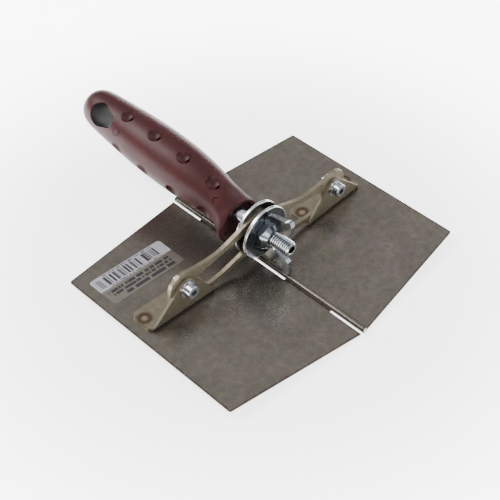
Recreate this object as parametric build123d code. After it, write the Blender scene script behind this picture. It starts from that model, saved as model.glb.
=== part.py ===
# Inside corner trowel: two hinged stainless blades, two brackets, two slotted
# arms clamped on one stud by a wing nut, and a moulded plastic handle.
# Units mm.  +Y runs from the blades to the butt of the handle, +Z is up,
# +X is to the right seen from the butt.  The hinge line lies along Y at X = 0.
import os
from math import sin, cos, tan, radians, degrees, atan2, hypot, pi
from build123d import *

os.makedirs("parts", exist_ok=True)

# ---------------------------------------------------------------- dimensions
TILT = 2.915            # each blade's rise from the hinge, degrees
BLADE_W = 80.0          # hinge line to outer edge
BLADE_L_IN = 130.0      # length at the hinge
BLADE_L_OUT = 110.0     # length at the outer edge
BLADE_T = 0.8
CORNER_R = 1.2

PIN_R = 0.9
KNUCKLE_R = 1.6
KNUCKLE_GAP = 0.15
CUT_BACK = 2.5          # blade edge beside the other blade's knuckles
RIGHT_KNUCKLES = [(45.0, 65.0), (-15.0, 15.0), (-65.0, -45.0)]
LEFT_KNUCKLES = [(15.0, 45.0), (-45.0, -15.0)]

BR_S0, BR_S1 = 32.8, 73.8   # bracket foot, across the blade
BR_T = 1.5
BR_DEPTH = 15.3
BR_BEND = 2.4
BR_TOP_R = 5.1
BR_Y_LEFT, BR_Y_RIGHT = 2.2, 0.2

SCREW_S, SCREW_N = 51.8, 15.3   # arm screw, in blade coordinates
SCREW_R = 2.0
ARM_HOLE_R = 2.07
ARM_T = 2.0
ARM_Y_RIGHT, ARM_Y_LEFT = 1.8, 3.9

HUB_Z = 20.2
SLOT_SLOPE = 9.7            # degrees, rising to the hub
SLOT_HALF = 5.4
SLOT_OUT = 37.0             # hub to the outer slot centre
STUD_R = 4.0
STUD_TIP = -17.0
STUD_END = 42.0
WASHER_R = 14.5
WASHER_T = 1.5

# place everything with the stud's free tip at the origin of the part
OFF = Location((0.0, -STUD_TIP, -HUB_Z))


def save(shape, name):
    shape = OFF * shape
    shape.label = name
    export_step(shape, "parts/%s.step" % name)
    print(name, [round(v, 2) for v in (*shape.bounding_box().min, *shape.bounding_box().max)],
          "vol %.1f" % shape.volume, "solids", len(shape.solids()))


def on_blade(shape, side):
    """Blade coordinates (x outward, z normal) to the right or left blade."""
    shape = Rotation(0, -TILT, 0) * shape
    return shape if side > 0 else mirror(shape, about=Plane.YZ)


def face_xz(pts, r=None, y=0.0):
    """Face in a plane of constant y from (x, z) points."""
    w = Wire.make_polygon([Vector(x, y, z) for x, z in pts], close=True)
    return Face(w)


def slab_xz(pts, y0, y1):
    return extrude(face_xz(pts, y=y0), amount=y1 - y0, dir=(0, 1, 0))


def slab_xy(pts, z0, z1):
    w = Wire.make_polygon([Vector(x, y, z0) for x, y in pts], close=True)
    return extrude(Face(w), amount=z1 - z0, dir=(0, 0, 1))


def cyl_y(x, z, r, y0, y1):
    c = Cylinder(r, abs(y1 - y0), rotation=(90, 0, 0))
    return Location((x, (y0 + y1) / 2, z)) * c


def hex_y(x, z, af, y0, y1, turn=0.0):
    rr = af / 2 / cos(radians(30))
    pts = [(x + rr * cos(radians(60 * k + turn)), z + rr * sin(radians(60 * k + turn))) for k in range(6)]
    return slab_xz(pts, y0, y1)


def arc_pts(cx, cz, r, a0, a1, n):
    return [(cx + r * cos(radians(a0 + (a1 - a0) * k / n)), cz + r * sin(radians(a0 + (a1 - a0) * k / n)))
            for k in range(n + 1)]


def fillet_safe(shape, edges, r):
    try:
        out = fillet(edges, r)
        return out if out.is_valid else shape
    except Exception as err:
        print("fillet skipped", r, err)
        return shape


# --------------------------------------------------------------------- blades
def blade(side, own, other):
    # outline in (s, y); the inner edge is cut back beside the other's knuckles
    pts = [(0, -BLADE_L_IN / 2), (BLADE_W, -BLADE_L_OUT / 2), (BLADE_W, BLADE_L_OUT / 2), (0, BLADE_L_IN / 2)]
    sheet = slab_xy(pts, -BLADE_T, 0)
    outer = [e for e in sheet.edges().filter_by(Axis.Z) if e.center().X > BLADE_W - 1]
    sheet = fillet_safe(sheet, outer, CORNER_R)
    for a, b in other:
        lo = a - KNUCKLE_GAP if a > -BLADE_L_IN / 2 else a - 2
        hi = b + KNUCKLE_GAP if b < BLADE_L_IN / 2 else b + 2
        sheet -= Pos(CUT_BACK / 2 - 2, (lo + hi) / 2, 0) * Box(CUT_BACK + 4, hi - lo, 6)
    body = on_blade(sheet, side)
    for a, b in own:
        lo = a + (KNUCKLE_GAP if a > -BLADE_L_IN / 2 else 0) * 0
        body += cyl_y(0, 0.8, KNUCKLE_R, lo, b)
    r = PIN_R if side > 0 else PIN_R + 0.05
    body -= cyl_y(0, 0.8, r, -70, 70)
    # the sheet stops short of the axis on its far side
    return body


left_own = [(a + KNUCKLE_GAP, b - KNUCKLE_GAP) for a, b in LEFT_KNUCKLES]
blade_right = blade(1, RIGHT_KNUCKLES, LEFT_KNUCKLES)
blade_left = blade(-1, left_own, RIGHT_KNUCKLES)
save(blade_right, "blade_right")
save(blade_left, "blade_left")
save(cyl_y(0, 0.8, PIN_R, -BLADE_L_IN / 2, BLADE_L_IN / 2), "hinge_pin")


# ------------------------------------------------------------------- brackets
def bracket(side, y0):
    # folded sheet, an L in the (y, n) plane with a rounded bend at the front
    R, t = BR_BEND, BR_T
    prof = [(y0 + BR_DEPTH, 0), (y0 + BR_DEPTH, t), (y0 + R, t)]
    prof += [(y0 + R - (R - t) * sin(radians(a)), R - (R - t) * cos(radians(a))) for a in (22.5, 45, 67.5)]
    prof += [(y0 + t, R), (y0 + t, 24), (y0, 24), (y0, R)]
    prof += [(y0 + R - R * cos(radians(a)), R - R * sin(radians(a))) for a in (15, 30, 45, 60, 75)]
    prof += [(y0 + R, 0)]
    w = Wire.make_polygon([Vector(BR_S0, y, n) for y, n in prof], close=True)
    ell = extrude(Face(w), amount=BR_S1 - BR_S0, dir=(1, 0, 0))
    # foot plan with rounded corners
    plan = slab_xy([(BR_S0, y0 - 0.001), (BR_S1, y0 - 0.001), (BR_S1, y0 + BR_DEPTH), (BR_S0, y0 + BR_DEPTH)], -1, 30)
    plan = fillet_safe(plan, [e for e in plan.edges().filter_by(Axis.Z) if e.center().Y > y0 + 5], 3.0)
    plan = fillet_safe(plan, [e for e in plan.edges().filter_by(Axis.Z)
                              if e.center().Y < y0 + 5 and e.center().X > BR_S1 - 1], 3.6)
    # flange outline: slanted sides and a top rounded about the screw
    k = 46.0
    left = (SCREW_S - BR_TOP_R * sin(radians(k)), SCREW_N + BR_TOP_R * cos(radians(k)))
    n_l = left[1] - (left[0] - BR_S0) * tan(radians(k))
    right = (SCREW_S + BR_TOP_R * sin(radians(k)), left[1])
    s_r = 72.4
    n_r = right[1] - (s_r - right[0]) * tan(radians(k))
    out = [(BR_S0, -1), (BR_S1, -1), (BR_S1, t), (s_r + 0.6, t + 0.25), (s_r, n_r + 0.3)]
    out += arc_pts(SCREW_S, SCREW_N, BR_TOP_R, 90 - k, 90 + k, 16)
    out += [(BR_S0 + 0.6, n_l + 0.4), (BR_S0, n_l - 0.6)]
    body = ell & slab_xz(out, y0 - 2, y0 + 30) & plan
    body -= cyl_y(SCREW_S, SCREW_N, SCREW_R, y0 - 3, y0 + 5)
    # shallow round dents left by the spot welder
    for s in (37.3, 70.6):
        body -= Pos(s, y0 + 9.0, t + 0.0) * Cylinder(2.6, 0.24)
    return on_blade(body, side)


save(bracket(-1, BR_Y_LEFT), "bracket_left")
save(bracket(1, BR_Y_RIGHT), "bracket_right")


# ----------------------------------------------------------------------- arms
def to_blade(x, z):
    b = radians(TILT)
    return (x * cos(b) + z * sin(b), -x * sin(b) + z * cos(b))


def arm(side, y0):
    top = [(61.0, 14.6), (60.7, 17.6), (59.7, 20.2), (57.6, 22.2), (54.9, 23.3), (51.6, 23.4), (47, 22.6),
           (42, 22.1), (36, 21.9), (31, 22.2), (27.6, 22.8), (24.6, 23.7), (21.4, 24.9), (18, 26.2),
           (15, 27.5), (11.5, 28.8), (7.5, 29.8)]
    hub = to_blade(0, HUB_Z)
    inner = arc_pts(hub[0], hub[1], 10.0, 82, 270, 22)
    low = [(7, 9.3), (10.7, 8.0), (16.7, 6.2), (22.7, 4.4), (26.5, 3.4), (30, 2.9), (33, 2.7), (37, 2.65),
           (45, 2.65), (51.5, 2.75), (54.6, 3.3), (57.3, 4.8), (59.7, 7.3), (60.8, 10.2)]
    plate = slab_xz(top + inner + low, y0, y0 + ARM_T)
    plate = on_blade(plate, 1)
    a = radians(SLOT_SLOPE)
    ux, uz = cos(a), -sin(a)
    i0, i1 = -0.3, SLOT_OUT
    cut = [(i0 * ux, HUB_Z + i0 * uz), (i1 * ux, HUB_Z + i1 * uz)]
    d0 = degrees(a)
    slot = arc_pts(cut[1][0], cut[1][1], SLOT_HALF, -90 - d0, 90 - d0, 18)
    slot += arc_pts(cut[0][0], cut[0][1], SLOT_HALF, 90 - d0, 270 - d0, 18)
    plate -= slab_xz(slot, y0 - 1, y0 + ARM_T + 1)
    # the window widens outboard, leaving a thin lower rail
    wide = [(38, 17.2), (41.3, 16.6), (44.0, 14.8), (45.4, 12.2), (45.2, 9.2), (43.7, 7.1), (41, 5.9), (37, 5.65),
            (33.5, 5.7), (30, 6.1), (26, 6.8), (22.7, 7.7), (16, 9.8), (11, 11.6), (14, 16.5), (30, 13.5)]
    plate -= on_blade(slab_xz(wide, y0 - 1, y0 + ARM_T + 1), 1)
    px, pz = screw_pos()
    plate -= cyl_y(px, pz, ARM_HOLE_R, y0 - 1, y0 + ARM_T + 1)
    return plate if side > 0 else mirror(plate, about=Plane.YZ)


def screw_pos():
    b = radians(TILT)
    return (SCREW_S * cos(b) - SCREW_N * sin(b), SCREW_S * sin(b) + SCREW_N * cos(b))


save(arm(-1, ARM_Y_LEFT), "arm_left")
save(arm(1, ARM_Y_RIGHT), "arm_right")


# ------------------------------------------------- arm screws, washers, nuts
def arm_fasteners(side, flange_y, arm_y, tag):
    px, pz = screw_pos()
    px *= side
    # washer under the head
    w = cyl_y(px, pz, 4.5, flange_y - 0.8, flange_y) - cyl_y(px, pz, SCREW_R, flange_y - 2, flange_y + 1)
    save(w, "screw_washer_" + tag)
    # socket cap screw: head, hexagon socket, shank
    h0, h1 = flange_y - 4.8, flange_y - 0.8
    head = cyl_y(px, pz, 3.5, h0, h1)
    head = fillet_safe(head, head.edges().filter_by(GeomType.CIRCLE).sort_by(Axis.Y)[0:1], 0.4)
    end = arm_y + ARM_T + 0.1 + 3.2 + 1.0
    screw = head + cyl_y(px, pz, SCREW_R, h1 - 0.5, end)
    screw -= hex_y(px, pz, 3.0, h0 - 1, h0 + 2.2, 30)
    save(screw, "arm_screw_" + tag)
    n0 = arm_y + ARM_T + 0.1
    nut = hex_y(px, pz, 7.0, n0, n0 + 3.2, 0)
    dome = Location((px, n0 + 1.6, pz)) * Cylinder(3.95, 3.2, rotation=(90, 0, 0))
    nut = (nut & dome) - cyl_y(px, pz, SCREW_R, n0 - 1, n0 + 5)
    save(nut, "arm_nut_" + tag)


arm_fasteners(-1, BR_Y_LEFT, ARM_Y_LEFT, "left")
arm_fasteners(1, BR_Y_RIGHT, ARM_Y_RIGHT, "right")


# --------------------------------------------------------------- stud and hub
def stud():
    pitch, depth = 1.25, 0.62
    pts = [(0, STUD_TIP), (STUD_R - 0.9, STUD_TIP), (STUD_R - 0.25, STUD_TIP + 0.6)]
    y = STUD_TIP + 0.85
    while y < -0.6:
        pts += [(STUD_R, y), (STUD_R, y + 0.2), (STUD_R - depth, y + 0.625), (STUD_R - depth, y + 0.775)]
        y += pitch
    pts += [(STUD_R, y), (STUD_R, STUD_END), (0, STUD_END)]
    w = Wire.make_polygon([Vector(r, yy, 0) for r, yy in pts], close=True)
    s = revolve(Face(w), Axis.Y, 360)
    s = Pos(0, 0, HUB_Z) * s
    return s - hex_y(0, HUB_Z, 4.0, STUD_TIP - 1, STUD_TIP + 4.5, 30)


def ring(r_out, r_in, y0, y1, edge=0.3):
    b = cyl_y(0, HUB_Z, r_out, y0, y1) - cyl_y(0, HUB_Z, r_in, y0 - 1, y1 + 1)
    outer = [e for e in b.edges().filter_by(GeomType.CIRCLE) if abs(e.radius - r_out) < 1e-3]
    return fillet_safe(b, outer, edge)


save(stud(), "stud")
save(ring(WASHER_R, STUD_R + 0.08, 0.2, 0.2 + WASHER_T), "front_washer")
save(ring(WASHER_R, STUD_R + 0.08, 6.0, 6.0 + WASHER_T), "rear_washer")
jam = hex_y(0, HUB_Z, 13.0, 7.6, 12.4, 0) & cyl_y(0, HUB_Z, 7.2, 7.6, 12.4)
save(jam - cyl_y(0, HUB_Z, STUD_R, 5, 16), "jam_nut")


# ------------------------------------------------------------------- wing nut
def wing_nut():
    hub = hex_y(0, HUB_Z, 14.2, -5.6, 0.1, 30)
    w = Wire.make_polygon([Vector(r, y, 0) for r, y in
                           [(0, 0.1), (7.2, 0.1), (8.0, -0.6), (7.9, -2.2), (5.6, -5.6), (0, -5.6)]], close=True)
    hub = hub & (Pos(0, 0, HUB_Z) * revolve(Face(w), Axis.Y, 360))
    prof = [(-0.1, 4.6), (-0.1, 12.2), (-1.2, 13.2), (-5.0, 14.9), (-9.0, 15.7), (-12.6, 16.2), (-14.6, 17.3),
            (-15.8, 17.5), (-16.6, 16.8), (-16.9, 14.8), (-16.7, 11.0), (-16.0, 9.0), (-14.2, 8.0), (-10.5, 7.3),
            (-6.5, 6.6), (-5.6, 4.6)]
    body = hub
    for sgn in (1, -1):
        w = Wire.make_polygon([Vector(-1.3, y, HUB_Z + sgn * r) for y, r in prof], close=True)
        wing = extrude(Face(w), amount=2.6, dir=(1, 0, 0))
        body += wing
    return body - cyl_y(0, HUB_Z, STUD_R + 0.05, -20, 3)


save(wing_nut(), "wing_nut")

# --------------------------------------------------------------------- handle
# (y, centre height, half width, half height) of the sections along the grip
SECTIONS = [
    (18.4, 15.4, 12.4, 11.9), (19.1, 15.5, 13.1, 12.4), (20.6, 16.0, 13.2, 12.4), (22.8, 17.6, 12.1, 11.8), (25.6, 19.7, 11.2, 11.2),
    (29.5, 21.4, 10.8, 10.8), (35.0, 22.8, 11.2, 11.2), (44.0, 24.05, 12.35, 12.35), (55.0, 25.0, 13.4, 13.4),
    (70.0, 26.0, 13.85, 13.85), (86.0, 26.95, 13.6, 13.6), (100.0, 27.75, 12.7, 12.7), (112.0, 28.4, 11.75, 11.75),
    (119.0, 28.8, 11.1, 11.1), (124.0, 29.05, 10.2, 10.2), (127.0, 29.2, 8.8, 8.8), (128.9, 29.3, 6.6, 6.6)]
HANDLE_ROLL = -52.0     # the hang hole's direction about the grip axis, from up towards -X


def centre_at(y):
    for a, b in zip(SECTIONS, SECTIONS[1:]):
        if a[0] <= y <= b[0]:
            t = (y - a[0]) / (b[0] - a[0])
            return a[1] + t * (b[1] - a[1]), a[2] + t * (b[2] - a[2])
    return SECTIONS[-1][1], SECTIONS[-1][2]


def ell_face(y, zc, rx, rz):
    pl = Plane(origin=(0, y, zc), x_dir=(1, 0, 0), z_dir=(0, 1, 0))
    return (pl * Ellipse(rx, rz)).face()


grip = loft([ell_face(*s) for s in SECTIONS])
grip = fillet_safe(grip, grip.edges().sort_by(Axis.Y)[-1:], 1.2)
# flared recess in the collar and the bore of the moulded-in sleeve
recess = loft([ell_face(17.9, 15.8, 10.9, 10.3), ell_face(20.6, 16.9, 9.9, 9.6)])
grip -= recess
grip -= cyl_y(0, HUB_Z, 6.0, 19.5, 46)


def polar(y, ang, r):
    """Point on the grip at angle ang (degrees from up towards +X) and radius r."""
    zc, _ = centre_at(y)
    return (r * sin(radians(ang)), y, zc + r * cos(radians(ang)))


# four rows of finger pockets, deeper at the end nearer the blades
for ang in (-14.0, -106.0, 76.0, 166.0):
    for y in (33.2, 54.0, 75.4, 96.4):
        _, r = centre_at(y)
        x, yy, z = polar(y, ang, r + 2.7)
        grip -= Pos(x, yy, z) * Sphere(4.9)
        x, yy, z = polar(y - 1.9, ang, r - 2.6)
        grip -= Pos(x, yy, z) * Rotation(0, ang, 0) * Box(2.8, 1.7, 3.6)

# hang hole through the butt: rounded, wider towards the blades
zc_h, _ = centre_at(111.0)
hole = arc_pts(0, 113.3, 6.4, -12, 192, 20) + [(-3.6, 103.6), (-2.7, 102.5), (-1.4, 102.1), (1.4, 102.1),
                                              (2.7, 102.5), (3.6, 103.6)]
w = Wire.make_polygon([Vector(x, y, -20) for x, y in hole], close=True)
cutter = extrude(Face(w), amount=40, dir=(0, 0, 1))
grip -= Pos(0, 0, zc_h) * Rotation(0, HANDLE_ROLL, 0) * cutter
# faint ejector-pin circles
for y, ang in ((97.4, -60.0), (26.6, -42.0)):
    _, r = centre_at(y)
    x, yy, z = polar(y, ang, r + 0.65)
    grip -= Pos(x, yy, z) * Rotation(0, ang, 0) * (Cylinder(2.35, 2.0) - Cylinder(2.0, 2.4))
save(grip, "handle_grip")

# threaded sleeve moulded into the handle, flush with the floor of the collar
sleeve = cyl_y(0, HUB_Z, 6.0, 20.6, 46) - cyl_y(0, HUB_Z, STUD_R, 10, STUD_END)
sleeve = fillet_safe(sleeve, [e for e in sleeve.edges().filter_by(GeomType.CIRCLE)
                              if abs(e.radius - 6.0) < 1e-3 and e.center().Y < 23], 0.3)
save(sleeve, "handle_sleeve")

# ------------------------------------------------------------- adhesive label
lab = slab_xy([(28.5, 28.3), (74.0, 28.3), (74.0, 48.0), (28.5, 48.0)], 0.0, 0.12)
lab = fillet_safe(lab, lab.edges().filter_by(Axis.Z), 1.5)
save(on_blade(lab, -1), "label_sticker")
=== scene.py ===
import bpy
import bmesh
import math
from mathutils import Matrix, Vector


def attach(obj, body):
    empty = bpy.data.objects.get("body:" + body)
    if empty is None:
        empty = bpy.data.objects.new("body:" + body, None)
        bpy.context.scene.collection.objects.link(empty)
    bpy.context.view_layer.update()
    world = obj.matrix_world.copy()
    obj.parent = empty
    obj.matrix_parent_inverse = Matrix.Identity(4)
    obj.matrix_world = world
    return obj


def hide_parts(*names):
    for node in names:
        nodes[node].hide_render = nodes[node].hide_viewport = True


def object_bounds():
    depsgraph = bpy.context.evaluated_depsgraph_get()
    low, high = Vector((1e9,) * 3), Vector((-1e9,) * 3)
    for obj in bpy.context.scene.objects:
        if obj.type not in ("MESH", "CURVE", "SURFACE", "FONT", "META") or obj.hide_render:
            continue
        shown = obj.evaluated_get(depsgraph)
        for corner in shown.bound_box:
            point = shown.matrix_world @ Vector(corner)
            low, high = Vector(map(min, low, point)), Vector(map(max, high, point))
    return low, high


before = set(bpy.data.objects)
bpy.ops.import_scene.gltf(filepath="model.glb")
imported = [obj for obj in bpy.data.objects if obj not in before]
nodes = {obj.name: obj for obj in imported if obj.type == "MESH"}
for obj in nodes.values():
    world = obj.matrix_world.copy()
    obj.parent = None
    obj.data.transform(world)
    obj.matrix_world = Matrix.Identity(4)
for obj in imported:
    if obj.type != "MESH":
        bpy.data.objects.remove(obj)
b0 = [list(map(float, v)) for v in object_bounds()]

OY, OZ = 0.017, -0.0202          # hinge-line origin to the row frame
TILT = math.radians(2.915)
HUB = Vector((0.0, 0.0, 0.0))


# ------------------------------------------------------------ node helpers
class Mat:
    """Small wrapper for building a node material."""

    def __init__(self, name):
        self.m = bpy.data.materials.new(name)
        self.m.use_nodes = True
        self.t = self.m.node_tree
        self.p = self.t.nodes["Principled BSDF"]
        self.tc = self.t.nodes.new("ShaderNodeTexCoord")
        self.sep = None

    def n(self, kind, **kw):
        x = self.t.nodes.new("ShaderNode" + kind)
        for k, v in kw.items():
            setattr(x, k, v)
        return x

    def link(self, a, b):
        self.t.links.new(a, b)

    def xyz(self):
        if self.sep is None:
            self.sep = self.n("SeparateXYZ")
            self.link(self.tc.outputs["Object"], self.sep.inputs[0])
        return self.sep.outputs

    def math(self, op, a, b=None, c=None, clamp=False):
        x = self.n("Math", operation=op, use_clamp=clamp)
        for i, v in enumerate((a, b, c)):
            if v is None:
                continue
            if isinstance(v, (int, float)):
                x.inputs[i].default_value = v
            else:
                self.link(v, x.inputs[i])
        return x.outputs[0]

    def noise(self, scale, detail=4.0, rough=0.55, dist=0.0, stretch=None, dim="3D", w=None):
        x = self.n("TexNoise", noise_dimensions=dim)
        x.inputs["Scale"].default_value = scale
        x.inputs["Detail"].default_value = detail
        x.inputs["Roughness"].default_value = rough
        x.inputs["Distortion"].default_value = dist
        if dim == "1D":
            self.link(w, x.inputs["W"])
        elif stretch:
            mp = self.n("Mapping")
            mp.inputs["Scale"].default_value = stretch
            self.link(self.tc.outputs["Object"], mp.inputs["Vector"])
            self.link(mp.outputs[0], x.inputs["Vector"])
        else:
            self.link(self.tc.outputs["Object"], x.inputs["Vector"])
        return x.outputs["Fac"] if "Fac" in x.outputs else x.outputs[0]

    def ramp(self, fac, stops):
        x = self.n("ValToRGB")
        e = x.color_ramp.elements
        while len(e) < len(stops):
            e.new(0.5)
        for el, (pos, col) in zip(e, stops):
            el.position = pos
            el.color = (col, col, col, 1) if isinstance(col, (int, float)) else (*col, 1)
        self.link(fac, x.inputs[0])
        return x.outputs["Color"]

    def mix(self, fac, a, b, mode="MIX"):
        x = self.n("Mix", data_type="RGBA", blend_type=mode)
        ins = [s for s in x.inputs if s.enabled]
        for s, v in zip((x.inputs[0], x.inputs[6], x.inputs[7]), (fac, a, b)):
            if isinstance(v, (int, float)):
                s.default_value = v
            elif isinstance(v, tuple):
                s.default_value = (*v, 1) if len(v) == 3 else v
            else:
                self.link(v, s)
        return x.outputs[2]

    def smooth(self, v, lo, hi):
        x = self.n("MapRange", interpolation_type="SMOOTHSTEP", clamp=True)
        self.link(v, x.inputs[0])
        x.inputs[1].default_value = lo
        x.inputs[2].default_value = hi
        return x.outputs[0]

    def bump(self, height, strength, dist):
        x = self.n("Bump")
        x.inputs["Strength"].default_value = strength
        x.inputs["Distance"].default_value = dist
        self.link(height, x.inputs["Height"])
        self.link(x.outputs[0], self.p.inputs["Normal"])

    def near(self, point):
        """Distance from a fixed point in the row frame."""
        x = self.n("VectorMath", operation="DISTANCE")
        self.link(self.tc.outputs["Object"], x.inputs[0])
        x.inputs[1].default_value = point
        return x.outputs["Value"]


def on_blade(s, n, y, side):
    c, d = math.cos(TILT), math.sin(TILT)
    return (side * (s * c - n * d), y + OY, s * d + n * c + OZ)


# ------------------------------------------------------------- blade steel
def blade_color(M):
    """Mottled mill-finish stainless: soft warm and cool clouds under a fine grain."""
    big = M.noise(55, 3, 0.55, 0.6)
    mid = M.noise(300, 5, 0.64, 0.4)
    fine = M.noise(1500, 3, 0.6, 0.0)
    hue = M.noise(85, 3, 0.5, 1.2)
    col = M.ramp(mid, [(0.25, (0.128, 0.113, 0.099)), (0.5, (0.160, 0.143, 0.127)), (0.75, (0.200, 0.181, 0.163))])
    tint = M.ramp(hue, [(0.30, (0.90, 0.99, 0.86)), (0.5, (1.0, 0.98, 0.93)), (0.70, (1.05, 0.95, 1.02))])
    col = M.mix(0.7, col, tint, "MULTIPLY")
    cloud = M.ramp(big, [(0.30, 0.90), (0.52, 1.0), (0.72, 1.09)])
    col = M.mix(1.0, col, cloud, "MULTIPLY")
    grain = M.ramp(fine, [(0.3, 0.88), (0.7, 1.10)])
    col = M.mix(1.0, col, grain, "MULTIPLY")
    return col, big, mid, fine


def blade_mat(name):
    M = Mat(name)
    col, big, mid, fine = blade_color(M)
    X, Y, Z = M.xyz()
    # dark worn line along the cut edges
    ax = M.math("ABSOLUTE", X)
    ay = M.math("ABSOLUTE", M.math("SUBTRACT", Y, OY))
    d_end = M.math("SUBTRACT", M.math("SUBTRACT", 0.065, M.math("MULTIPLY", ax, 0.125)), ay)
    d_out = M.math("SUBTRACT", 0.07985, ax)
    wob = M.math("MULTIPLY", M.math("SUBTRACT", mid, 0.5), 0.0009)
    d = M.math("ADD", M.math("MINIMUM", d_end, d_out), wob)
    edge = M.smooth(d, 0.0001, 0.00085)
    col = M.mix(edge, (0.045, 0.028, 0.022), col)
    M.link(col, M.p.inputs["Base Color"])
    M.p.inputs["Metallic"].default_value = 0.82
    r = M.ramp(mid, [(0.3, 0.32), (0.7, 0.24)])
    M.link(r, M.p.inputs["Roughness"])
    M.bump(M.mix(0.4, mid, fine), 0.10, 0.0002)
    return M.m


def pin_mat():
    M = Mat("bright_wire")
    col = M.ramp(M.noise(400, 3), [(0.3, (0.36, 0.36, 0.36)), (0.7, (0.55, 0.54, 0.53))])
    M.link(col, M.p.inputs["Base Color"])
    M.p.inputs["Metallic"].default_value = 1.0
    M.link(M.ramp(M.noise(900, 2), [(0.3, 0.22), (0.7, 0.34)]), M.p.inputs["Roughness"])
    M.bump(M.noise(2500, 2), 0.08, 0.0001)
    return M.m


# ----------------------------------------------------- olive plated steel
def olive_mat(name, base, rings=()):
    M = Mat(name)
    mid = M.noise(260, 4, 0.6, 0.3)
    fine = M.noise(2200, 3, 0.6)
    lo = tuple(c * 0.80 for c in base)
    hi = tuple(c * 1.22 for c in base)
    col = M.ramp(mid, [(0.28, lo), (0.5, base), (0.74, hi)])
    col = M.mix(1.0, col, M.ramp(fine, [(0.3, 0.93), (0.7, 1.07)]), "MULTIPLY")
    for c in rings:
        dd = M.near(c)
        dd = M.math("ADD", dd, M.math("MULTIPLY", M.math("SUBTRACT", M.noise(520, 3, 0.6), 0.5), 0.0016))
        heat = M.math("MULTIPLY", M.smooth(dd, 0.0009, 0.0021), M.math("SUBTRACT", 1.0, M.smooth(dd, 0.0029, 0.0048)))
        heat = M.math("MULTIPLY", heat, 0.85, clamp=True)
        col = M.mix(heat, col, (0.078, 0.043, 0.021))
        core = M.math("SUBTRACT", 1.0, M.smooth(dd, 0.0006, 0.0020))
        col = M.mix(M.math("MULTIPLY", core, 0.5), col, (0.30, 0.26, 0.19))
    M.link(col, M.p.inputs["Base Color"])
    M.p.inputs["Metallic"].default_value = 0.85
    M.link(M.ramp(mid, [(0.3, 0.44), (0.7, 0.33)]), M.p.inputs["Roughness"])
    M.bump(M.mix(0.5, mid, fine), 0.09, 0.0002)
    return M.m


# --------------------------------------------------------------- zinc plate
def zinc_mat(name="bright_zinc", k=1.0):
    M = Mat(name)
    mid = M.noise(420, 4, 0.6, 0.5)
    fine = M.noise(2600, 3, 0.6)
    col = M.ramp(mid, [(0.28, (0.50 * k, 0.55 * k, 0.60 * k)), (0.5, (0.60 * k, 0.65 * k, 0.70 * k)),
                       (0.74, (0.70 * k, 0.74 * k, 0.77 * k))])
    col = M.mix(1.0, col, M.ramp(fine, [(0.3, 0.92), (0.7, 1.06)]), "MULTIPLY")
    M.link(col, M.p.inputs["Base Color"])
    M.p.inputs["Metallic"].default_value = 1.0
    M.link(M.ramp(mid, [(0.3, 0.24), (0.7, 0.13)]), M.p.inputs["Roughness"])
    M.bump(M.mix(0.5, mid, fine), 0.06, 0.0001)
    return M.m


def thread_mat():
    """Bright zinc crests and flanks, with painted shade, dark and blue-tinged, in the thread roots and the hex socket.
    """
    M = Mat("bright_zinc_thread")
    X, Y, Z = M.xyz()
    rho = M.math("SQRT", M.math("ADD", M.math("MULTIPLY", X, X), M.math("MULTIPLY", Z, Z)))
    # painted shade: dark blue-grey colour in the thread roots, past the stud's end face
    root = M.math("SUBTRACT", 1.0, M.smooth(rho, 0.00345, 0.00385))
    body = M.smooth(Y, 0.0004, 0.0009)
    col = M.ramp(M.noise(900, 3), [(0.3, (0.56, 0.60, 0.64)), (0.7, (0.72, 0.76, 0.79))])
    col = M.mix(M.math("MULTIPLY", M.math("MULTIPLY", root, body), 0.95), col, (0.022, 0.032, 0.050))
    # painted shade: near-black colour inside the hex socket at the stud's end
    deep = M.math("MULTIPLY", M.math("SUBTRACT", 1.0, M.smooth(rho, 0.0020, 0.0024)), M.smooth(Y, 0.0002, 0.0006))
    col = M.mix(M.math("MULTIPLY", deep, 0.85), col, (0.03, 0.045, 0.075))
    M.link(col, M.p.inputs["Base Color"])
    M.p.inputs["Metallic"].default_value = 1.0
    M.link(M.ramp(M.noise(1200, 2), [(0.3, 0.16), (0.7, 0.26)]), M.p.inputs["Roughness"])
    return M.m


def washer_mat():
    """Turned zinc washer: painted highlight as a bright rounded rim, painted dark reflection as a darker face, with
    faint circular turning marks.
    """
    M = Mat("bright_zinc_washer")
    X, Y, Z = M.xyz()
    rho = M.math("SQRT", M.math("ADD", M.math("MULTIPLY", X, X), M.math("MULTIPLY", Z, Z)))
    rim = M.smooth(rho, 0.0137, 0.0142)
    turn = M.noise(2600, 2.0, 0.5, 0.0, dim="1D", w=rho)
    blot = M.noise(300, 4, 0.6, 0.6)
    # painted reflection: the face is coloured far darker than the zinc, with random blotches
    face_painted_reflection = M.ramp(blot, [(0.3, (0.105, 0.122, 0.135)), (0.7, (0.20, 0.222, 0.240))])
    face_painted_reflection = M.mix(1.0, face_painted_reflection, M.ramp(turn, [(0.3, 0.88), (0.7, 1.10)]), "MULTIPLY")
    # painted highlight: the rounded rim is coloured bright
    col = M.mix(rim, face_painted_reflection, (0.68, 0.70, 0.71))
    M.link(col, M.p.inputs["Base Color"])
    M.p.inputs["Metallic"].default_value = 1.0
    M.link(M.ramp(blot, [(0.3, 0.27), (0.7, 0.18)]), M.p.inputs["Roughness"])
    M.bump(turn, 0.05, 0.00005)
    return M.m


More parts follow.
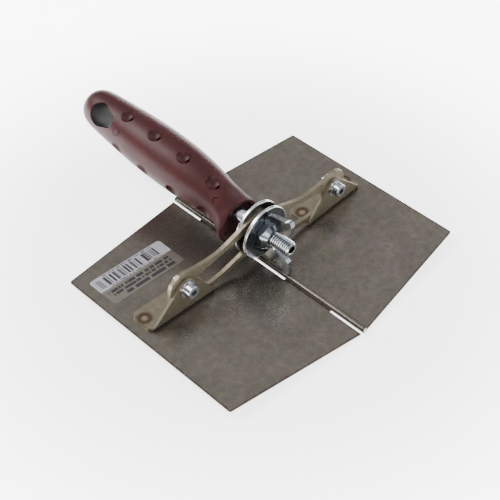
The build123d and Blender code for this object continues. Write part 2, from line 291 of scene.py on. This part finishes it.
# ------------------------------------------------------------------- handle
def handle_mat():
    M = Mat("maroon_plastic")
    mid = M.noise(90, 4, 0.6)
    grain = M.noise(1900, 3, 0.65)
    col = M.ramp(mid, [(0.3, (0.034, 0.0066, 0.0072)), (0.5, (0.041, 0.0082, 0.0088)), (0.7, (0.049, 0.0110, 0.0115))])
    col = M.mix(1.0, col, M.ramp(grain, [(0.3, 0.94), (0.7, 1.06)]), "MULTIPLY")
    # dust and handling marks: paler specks
    dust = M.ramp(M.noise(620, 6, 0.75), [(0.63, 0.0), (0.74, 0.35)])
    col = M.mix(dust, col, (0.11, 0.050, 0.052))
    # painted shade: near-black colour inside the handle's hollow core, within 10 mm of its axis
    X, Y, Z = M.xyz()
    y = M.math("SUBTRACT", Y, OY)
    zc = M.math("ADD", 0.0048, M.math("MULTIPLY", M.math("SUBTRACT", y, 0.055), 0.060))
    dz = M.math("SUBTRACT", Z, zc)
    rho = M.math("SQRT", M.math("ADD", M.math("MULTIPLY", X, X), M.math("MULTIPLY", dz, dz)))
    hollow_painted_shade = M.math("SUBTRACT", 1.0, M.smooth(rho, 0.0100, 0.0108))
    hollow_painted_shade = M.math("MULTIPLY", hollow_painted_shade, M.math("MULTIPLY", M.smooth(y, 0.0440, 0.0450),
                                               M.math("SUBTRACT", 1.0, M.smooth(y, 0.1200, 0.1206))))
    col = M.mix(M.math("MULTIPLY", hollow_painted_shade, 0.93), col, (0.006, 0.006, 0.007))
    M.link(col, M.p.inputs["Base Color"])
    M.link(M.ramp(mid, [(0.3, 0.46), (0.7, 0.39)]), M.p.inputs["Roughness"])
    M.p.inputs["Specular IOR Level"].default_value = 0.22
    M.bump(grain, 0.16, 0.0003)
    return M.m


def sleeve_mat():
    M = Mat("machined_steel_painted_shade")
    # painted shade: the sleeve steel is coloured near-black for the shade inside the handle collar
    M.link(M.ramp(M.noise(600, 3), [(0.3, (0.026, 0.022, 0.022)), (0.7, (0.044, 0.038, 0.038))]), M.p.inputs["Base Color"])
    M.p.inputs["Metallic"].default_value = 1.0
    M.link(M.ramp(M.noise(900, 2), [(0.3, 0.35), (0.7, 0.5)]), M.p.inputs["Roughness"])
    return M.m


# -------------------------------------------------------------------- label
def label_mat():
    """White strip with plain bars behind, clear film with plain dashes in front."""
    M = Mat("printed_label")
    X, Y, Z = M.xyz()
    s = M.math("MULTIPLY", X, -1.0)
    y = M.math("SUBTRACT", Y, OY)
    metal, big, mid, fine = blade_color(M)

    def band(v, lo, hi, e=0.00008):
        a = M.smooth(v, lo - e, lo + e)
        b = M.smooth(v, hi - e, hi + e)
        return M.math("SUBTRACT", a, b, clamp=True)

    def bars(seed, scale, cut):
        w = M.math("ADD", s, seed)
        f = M.noise(scale, 0.0, 0.5, 0.0, dim="1D", w=w)
        return M.smooth(f, cut - 0.01, cut + 0.01)

    paper = band(y, 0.0385, 0.0490)
    film = M.mix(0.35, metal, (0.30, 0.27, 0.24))
    white = M.mix(M.ramp(M.noise(700, 3), [(0.3, 0.0), (0.7, 1.0)]), (0.30, 0.30, 0.33), (0.40, 0.40, 0.44))
    col = M.mix(paper, film, white)
    ink = None
    for i, (a, b) in enumerate(((0.0345, 0.0432), (0.0443, 0.0503), (0.0515, 0.0582), (0.0592, 0.0672))):
        m = M.math("MULTIPLY", band(s, a, b), M.math("MULTIPLY", band(y, 0.0400, 0.0462), bars(0.37 * (i + 1), 900, 0.47)))
        ink = m if ink is None else M.math("MAXIMUM", ink, m)
    m = M.math("MULTIPLY", band(s, 0.0350, 0.0665), M.math("MULTIPLY", band(y, 0.0387, 0.0394), bars(2.2, 900, 0.47)))
    ink = M.math("MAXIMUM", ink, m)
    m = M.math("MULTIPLY", band(s, 0.0350, 0.0665), M.math("MULTIPLY", band(y, 0.0467, 0.0475), bars(3.1, 900, 0.47)))
    ink = M.math("MAXIMUM", ink, m)
    m = M.math("MULTIPLY", band(s, 0.0690, 0.0722), M.math("MULTIPLY", band(y, 0.0400, 0.0462), bars(5.7, 1500, 0.5)))
    ink = M.math("MAXIMUM", ink, m)
    for i, (ya, yb, sa, sb, sc, cut) in enumerate(((0.0350, 0.0368, 0.0330, 0.0715, 560, 0.40),
                                                   (0.0327, 0.0343, 0.0330, 0.0700, 620, 0.40),
                                                   (0.0298, 0.0318, 0.0330, 0.0640, 480, 0.38))):
        m = M.math("MULTIPLY", band(s, sa, sb), M.math("MULTIPLY", band(y, ya, yb), bars(7.3 + i, sc, cut)))
        ink = M.math("MAXIMUM", ink, m)
    col = M.mix(ink, col, (0.018, 0.016, 0.018))
    M.link(col, M.p.inputs["Base Color"])
    met = M.math("MULTIPLY", M.math("SUBTRACT", 1.0, paper), M.math("SUBTRACT", 1.0, ink))
    M.link(M.math("MULTIPLY", met, 0.75), M.p.inputs["Metallic"])
    M.link(M.ramp(mid, [(0.3, 0.40), (0.7, 0.30)]), M.p.inputs["Roughness"])
    M.bump(mid, 0.08, 0.0002)
    return M.m


# --------------------------------------------------------- assign to nodes
olive_arm = olive_mat("olive_plate_arm", (0.235, 0.205, 0.150))
zinc = zinc_mat("bright_zinc", 0.70)
# painted shade: the wing nut and jam nut use darker copies of the same zinc
zinc_wing_shaded = zinc_mat("bright_zinc_wing", 0.42)
zinc_jam_shaded = zinc_mat("bright_zinc_jam_nut", 0.40)
zinc_thread = thread_mat()
zinc_washer_painted_reflection = washer_mat()


def rings_for(side, y0):
    return [on_blade(s, 0.0015, y0 + 0.009, side) for s in (0.0373, 0.0706)]


table = {
    "blade_left": blade_mat("mottled_stainless_l"),
    "blade_right": blade_mat("mottled_stainless_r"),
    "hinge_pin": pin_mat(),
    "bracket_left": olive_mat("olive_plate_l", (0.215, 0.188, 0.138), rings_for(-1, 0.0022)),
    "bracket_right": olive_mat("olive_plate_r", (0.215, 0.188, 0.138), rings_for(1, 0.0002)),
    "arm_left": olive_arm, "arm_right": olive_arm,
    "handle_grip": handle_mat(), "handle_sleeve": sleeve_mat(),
    "label_sticker": label_mat(),
    "front_washer": zinc_washer_painted_reflection, "rear_washer": zinc_washer_painted_reflection, "wing_nut": zinc_wing_shaded, "stud": zinc_thread, "jam_nut": zinc_jam_shaded,
}
for name, o in nodes.items():
    m = table.get(name, zinc)
    o.data.materials.clear()
    o.data.materials.append(m)
    for poly in o.data.polygons:
        poly.material_index = 0


# ------------------------------------------------ stud with a real thread
def threaded_stud():
    """M8 stud: helical thread on the bare end, chamfered tip, hexagon socket."""
    me = bpy.data.meshes.new("stud_thread")
    bm = bmesh.new()
    R, depth, pitch = 0.0040, 0.00066, 0.00125
    seg = 48
    y0, y1 = 0.0, 0.0165
    per = 10
    steps = int((y1 - y0) / pitch * per)

    def radius(y, a):
        t = ((y / pitch - a / (2 * math.pi)) % 1.0)
        # crest flat, flank, root, flank
        if t < 0.14:
            k = 0.0
        elif t < 0.50:
            k = (t - 0.14) / 0.36
        elif t < 0.64:
            k = 1.0
        else:
            k = 1.0 - (t - 0.64) / 0.36
        r = R - depth * k
        cap = R - 0.0009 + max(0.0, y - y0) * 1.15     # chamfered tip
        return min(r, cap)

    rings = []
    for i in range(steps + 1):
        y = y0 + (y1 - y0) * i / steps
        rings.append([bm.verts.new((radius(y, 2 * math.pi * j / seg) * math.cos(2 * math.pi * j / seg), y,
                                    radius(y, 2 * math.pi * j / seg) * math.sin(2 * math.pi * j / seg)))
                      for j in range(seg)])
    for y in (0.0170, 0.0590):
        rings.append([bm.verts.new((R * math.cos(2 * math.pi * j / seg), y, R * math.sin(2 * math.pi * j / seg)))
                      for j in range(seg)])
    for a, b in zip(rings, rings[1:]):
        for j in range(seg):
            k = (j + 1) % seg
            bm.faces.new((a[j], a[k], b[k], b[j]))
    # socket: rim ring, hexagonal wall, floor
    hexr = 0.0040 / 2 / math.cos(math.radians(30))

    def hexpt(a):
        u = (a + math.pi / 6) % (math.pi / 3) - math.pi / 6
        return (0.0040 / 2) / math.cos(u)

    def hring(y, f=1.0):
        return [bm.verts.new((hexpt(2 * math.pi * j / seg) * f * math.cos(2 * math.pi * j / seg), y,
                              hexpt(2 * math.pi * j / seg) * f * math.sin(2 * math.pi * j / seg))) for j in range(seg)]
    rim = hring(y0, 1.05)
    lip = hring(y0 + 0.0001)
    deep = hring(y0 + 0.0040)
    for a, b in ((rings[0], rim), (rim, lip), (lip, deep)):
        for j in range(seg):
            k = (j + 1) % seg
            bm.faces.new((a[k], a[j], b[j], b[k]))
    c = bm.verts.new((0, y0 + 0.0048, 0))
    for j in range(seg):
        bm.faces.new((deep[(j + 1) % seg], deep[j], c))
    bm.faces.new(list(reversed(rings[-1])))
    bmesh.ops.recalc_face_normals(bm, faces=bm.faces)
    bm.to_mesh(me)
    bm.free()
    for p in me.polygons:
        p.use_smooth = True
    me.set_sharp_from_angle(angle=math.radians(38))
    o = bpy.data.objects.new("stud_thread", me)
    bpy.context.scene.collection.objects.link(o)
    me.materials.append(zinc_thread)
    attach(o, "handle")
    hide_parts("stud")
    return o


threaded_stud()

# ------------------------------------------------------------------ the set
scene = bpy.context.scene
fme = bpy.data.meshes.new("floor")
fme.from_pydata([(-3, -3, 0), (3, -3, 0), (3, 3, 0), (-3, 3, 0)], [], [(0, 1, 2, 3)])
floor = bpy.data.objects.new("floor", fme)
floor.location = (0, 0, b0[0][2] - 0.0006)
scene.collection.objects.link(floor)
F = Mat("floor_paper")
F.link(F.ramp(F.noise(3, 2), [(0.3, 0.90), (0.7, 0.92)]), F.p.inputs["Base Color"])
F.p.inputs["Roughness"].default_value = 0.9
F.p.inputs["Emission Color"].default_value = (1, 1, 1, 1)
fd = F.near((0.0, 0.03, b0[0][2]))
F.link(F.math("ADD", 2.8, F.math("MULTIPLY", F.smooth(fd, 0.09, 0.24), 4.5)), F.p.inputs["Emission Strength"])
# seen from beneath, the sheet is clear, so the working faces show
back, clear, both = F.n("NewGeometry"), F.n("BsdfTransparent"), F.n("MixShader")
F.link(back.outputs["Backfacing"], both.inputs[0])
F.link(F.p.outputs["BSDF"], both.inputs[1])
F.link(clear.outputs[0], both.inputs[2])
F.link(both.outputs[0], F.t.nodes["Material Output"].inputs["Surface"])
fme.materials.append(F.m)

world = bpy.data.worlds.new("studio")
scene.world = world
world.use_nodes = True
bg = world.node_tree.nodes["Background"]
bg.inputs["Color"].default_value = (0.97, 0.985, 1.0, 1)
wt = world.node_tree
wc = wt.nodes.new("ShaderNodeTexCoord")
ws = wt.nodes.new("ShaderNodeSeparateXYZ")
wr = wt.nodes.new("ShaderNodeValToRGB")
wt.links.new(wc.outputs["Generated"], ws.inputs[0])
wt.links.new(ws.outputs[2], wr.inputs[0])
el = wr.color_ramp.elements
el[0].position, el[0].color = 0.0, (0.42, 0.43, 0.45, 1)
el[1].position, el[1].color = 1.0, (1.0, 1.0, 1.0, 1)
for pos, v in ((0.10, 0.16), (0.34, 0.20), (0.48, 0.92)):
    e = el.new(pos)
    e.color = (v, v, v * 1.02, 1)
wt.links.new(wr.outputs["Color"], bg.inputs["Color"])
bg.inputs["Strength"].default_value = 0.9


def area(name, loc, target, size, power, color=(1, 1, 1)):
    d = bpy.data.lights.new(name, "AREA")
    d.shape = "RECTANGLE"
    d.size, d.size_y = size
    d.energy = power
    d.color = color
    o = bpy.data.objects.new(name, d)
    o.location = loc
    o.rotation_euler = (Vector(target) - Vector(loc)).to_track_quat("-Z", "Y").to_euler()
    scene.collection.objects.link(o)
    return o


area("key", (-0.35, 0.75, 0.85), (0, 0.03, 0), (0.6, 0.5), 14.0, (1.0, 0.985, 0.96))
area("fill", (0.9, -0.35, 0.7), (0, 0.03, 0), (0.9, 0.6), 6.0, (0.95, 0.98, 1.0))
area("front", (-0.6, -0.7, 0.5), (0, 0.03, 0), (0.5, 0.5), 3.0)

# ------------------------------------------------------------------- camera
cd = bpy.data.cameras.new("camera")
cd.lens = 78.40
cd.sensor_width = 36.0
cd.sensor_fit = "HORIZONTAL"
cd.clip_start = 0.01
cam = bpy.data.objects.new("camera", cd)
Rv = Vector((0.697871, -0.716109, 0.012833)).normalized()
Dv = Vector((0.512342, 0.486613, -0.707611)).normalized()
Uv = Rv.cross(Dv).normalized()
rot = Matrix((Rv, Uv, -Dv)).transposed()
cam.matrix_world = Matrix.Translation((-0.28183, -0.23998, 0.36983)) @ rot.to_4x4()
scene.collection.objects.link(cam)
scene.camera = cam
